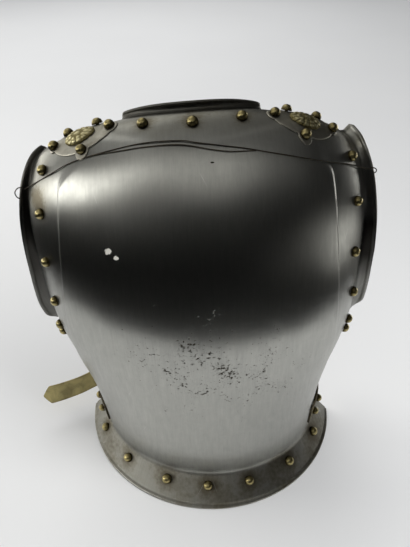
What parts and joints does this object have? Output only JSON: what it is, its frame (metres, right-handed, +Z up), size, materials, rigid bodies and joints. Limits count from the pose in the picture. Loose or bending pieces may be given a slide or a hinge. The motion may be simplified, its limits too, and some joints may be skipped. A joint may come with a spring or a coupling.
{
  "type": "cuirass back plate",
  "caption": "Cuirass back plate: curved steel shell with flanged neck, armholes and waist skirt, brass rivets, scalloped shoulder patches with rosettes, a short waist belt and a hanging wire.",
  "frame": {"origin": "middle of the outline in plan, on the surface that the waist skirt stands on", "axes": "+Z up from the waist skirt to the neck, +Y towards the open front that the wearer faces, +X towards the wearer's right"},
  "size_m": [0.3994, 0.207, 0.4451],
  "materials": {
    "plate_steel": "polished by hand, with fine upright brush marks",
    "patch_steel": "dark, dull",
    "brass": "aged, half polished",
    "leather": "worn buff, matt",
    "iron_wire": "dark, oxidised"
  },
  "bodies": {
    "root": {"back_plate": "plate_steel", "belt_tongue": "leather", "buckle": "brass", "buckle_strap": "leather", "rivet_arm_left_1": "brass", "rivet_arm_left_2": "brass", "rivet_arm_left_3": "brass", "rivet_arm_left_4": "brass", "rivet_arm_left_5": "brass", "rivet_arm_left_6": "brass", "rivet_arm_right_1": "brass", "rivet_arm_right_2": "brass", "rivet_arm_right_3": "brass", "rivet_arm_right_4": "brass", "rivet_arm_right_5": "brass", "rivet_arm_right_6": "brass", "rivet_neck_1": "brass", "rivet_neck_2": "brass", "rivet_neck_3": "brass", "rivet_patch_left_1": "brass", "rivet_patch_left_2": "brass", "rivet_patch_left_3": "brass", "rivet_patch_left_4": "brass", "rivet_patch_left_5": "brass", "rivet_patch_right_1": "brass", "rivet_patch_right_2": "brass", "rivet_patch_right_3": "brass", "rivet_patch_right_4": "brass", "rivet_patch_right_5": "brass", "rivet_skirt_1": "brass", "rivet_skirt_2": "brass", "rivet_skirt_3": "brass", "rivet_skirt_4": "brass", "rivet_skirt_5": "brass", "rivet_skirt_6": "brass", "rivet_skirt_7": "brass", "rosette_left": "brass", "rosette_right": "brass", "shoulder_patch_left": "patch_steel", "shoulder_patch_right": "patch_steel", "strap_rivet_left_1": "brass", "strap_rivet_left_2": "brass", "strap_rivet_right_1": "brass", "strap_rivet_right_2": "brass", "wire_lower": "iron_wire", "wire_upper": "iron_wire"}
  },
  "joints": []
}
